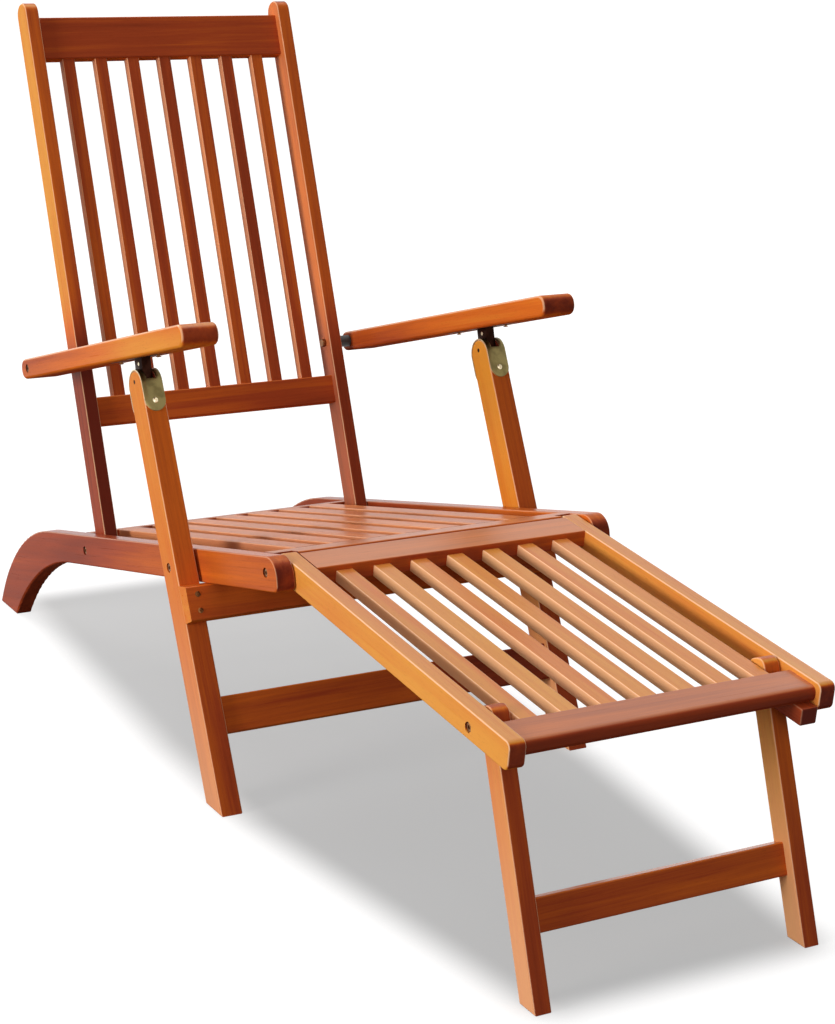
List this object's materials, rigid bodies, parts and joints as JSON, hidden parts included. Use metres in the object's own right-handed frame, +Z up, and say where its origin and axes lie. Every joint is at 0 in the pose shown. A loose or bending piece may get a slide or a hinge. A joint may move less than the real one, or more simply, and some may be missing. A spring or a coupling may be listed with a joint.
{
  "type": "steamer deck chair",
  "caption": "Folding slatted hardwood lounge chair with sloping seat, leaning back, arms on hooked front legs and a long footrest on folding legs.",
  "frame": {"origin": "on the floor, under the middle of the chair's length and width", "axes": "+X across the chair to the sitter's left, +Y from the footrest to the back, +Z up"},
  "size_m": [0.595, 1.5901, 0.9766],
  "materials": {
    "hardwood": "oiled reddish-brown hardwood, semi-gloss, edges eased",
    "brass": "satin brass, lightly dulled",
    "bronze": "dark bronze, satin",
    "nylon": "black nylon, satin"
  },
  "bodies": {
    "seat": {"frame_pivot_bolts": "brass", "leg_pivot_bolts": "brass", "seat_front_rail": "hardwood", "seat_rail_left": "hardwood", "seat_rail_right": "hardwood", "seat_rear_rail": "hardwood", "seat_slat_1": "hardwood", "seat_slat_2": "hardwood", "seat_slat_3": "hardwood", "seat_slat_4": "hardwood", "seat_slat_5": "hardwood", "seat_slat_6": "hardwood", "seat_slat_7": "hardwood", "seat_spacers": "nylon"},
    "back": {"arm_pivot_bolts": "brass", "arm_spacers": "nylon", "back_bottom_rail": "hardwood", "back_slat_1": "hardwood", "back_slat_2": "hardwood", "back_slat_3": "hardwood", "back_slat_4": "hardwood", "back_slat_5": "hardwood", "back_slat_6": "hardwood", "back_slat_7": "hardwood", "back_stile_left": "hardwood", "back_stile_right": "hardwood", "back_top_rail": "hardwood"},
    "left_arm": {"arm_left": "hardwood", "arm_strip_left": "brass", "arm_strip_screws_left": "brass"},
    "right_arm": {"arm_right": "hardwood", "arm_strip_right": "brass", "arm_strip_screws_right": "brass"},
    "front_legs": {"front_leg_left": "hardwood", "front_leg_right": "hardwood", "hook_pins": "bronze", "leg_cross_rail": "hardwood", "leg_stop_board": "hardwood", "leg_straps": "brass", "stop_board_screws": "brass", "strap_screws": "brass"},
    "left_hook": {"arm_hook_left": "bronze"},
    "right_hook": {"arm_hook_right": "bronze"},
    "footrest": {"footrest_end_rail": "hardwood", "footrest_leg_bolts": "brass", "footrest_leg_spacers": "nylon", "footrest_slat_1": "hardwood", "footrest_slat_2": "hardwood", "footrest_slat_3": "hardwood", "footrest_slat_4": "hardwood", "footrest_slat_5": "hardwood", "footrest_slat_6": "hardwood", "footrest_slat_7": "hardwood", "footrest_stile_left": "hardwood", "footrest_stile_right": "hardwood", "footrest_stop_block": "hardwood", "footrest_top_rail": "hardwood"},
    "footrest_legs": {"footrest_leg_left": "hardwood", "footrest_leg_rail": "hardwood", "footrest_leg_right": "hardwood"}
  },
  "joints": [
    {"name": "back_fold", "type": "hinge", "parent": "seat", "child": "back", "pos_m": [0, 0.412, 0.197], "axis": [1, 0, 0], "range_deg": [0, 88]},
    {"name": "front_legs_fold", "type": "hinge", "parent": "seat", "child": "front_legs", "pos_m": [0, 0.013, 0.292], "axis": [1, 0, 0], "range_deg": [0, 90]},
    {"name": "left_arm_fold", "type": "hinge", "parent": "back", "child": "left_arm", "pos_m": [0, 0.517, 0.458], "axis": [1, 0, 0], "range_deg": [-94.5, 0]},
    {"name": "right_arm_fold", "type": "hinge", "parent": "back", "child": "right_arm", "pos_m": [0, 0.517, 0.458], "axis": [1, 0, 0], "range_deg": [-94.5, 0]},
    {"name": "left_hook_turn", "type": "hinge", "parent": "front_legs", "child": "left_hook", "pos_m": [0, 0.12968, 0.52099], "axis": [1, 0, 0], "range_deg": [-96, 0]},
    {"name": "right_hook_turn", "type": "hinge", "parent": "front_legs", "child": "right_hook", "pos_m": [0, 0.12968, 0.52099], "axis": [1, 0, 0], "range_deg": [-96, 0]},
    {"name": "footrest_fold", "type": "hinge", "parent": "seat", "child": "footrest", "pos_m": [0, -0.209, 0.346], "axis": [1, 0, 0], "range_deg": [0, 90]},
    {"name": "footrest_legs_fold", "type": "hinge", "parent": "footrest", "child": "footrest_legs", "pos_m": [0, -0.67, 0.3], "axis": [1, 0, 0], "range_deg": [0, 105]}
  ],
  "couplings": [
    {"joint": "front_legs_fold", "follows": "back_fold", "ratio": 1.02},
    {"joint": "left_arm_fold", "follows": "back_fold", "ratio": -1.07},
    {"joint": "right_arm_fold", "follows": "back_fold", "ratio": -1.07},
    {"joint": "left_hook_turn", "follows": "back_fold", "ratio": -1.09},
    {"joint": "right_hook_turn", "follows": "back_fold", "ratio": -1.09}
  ]
}
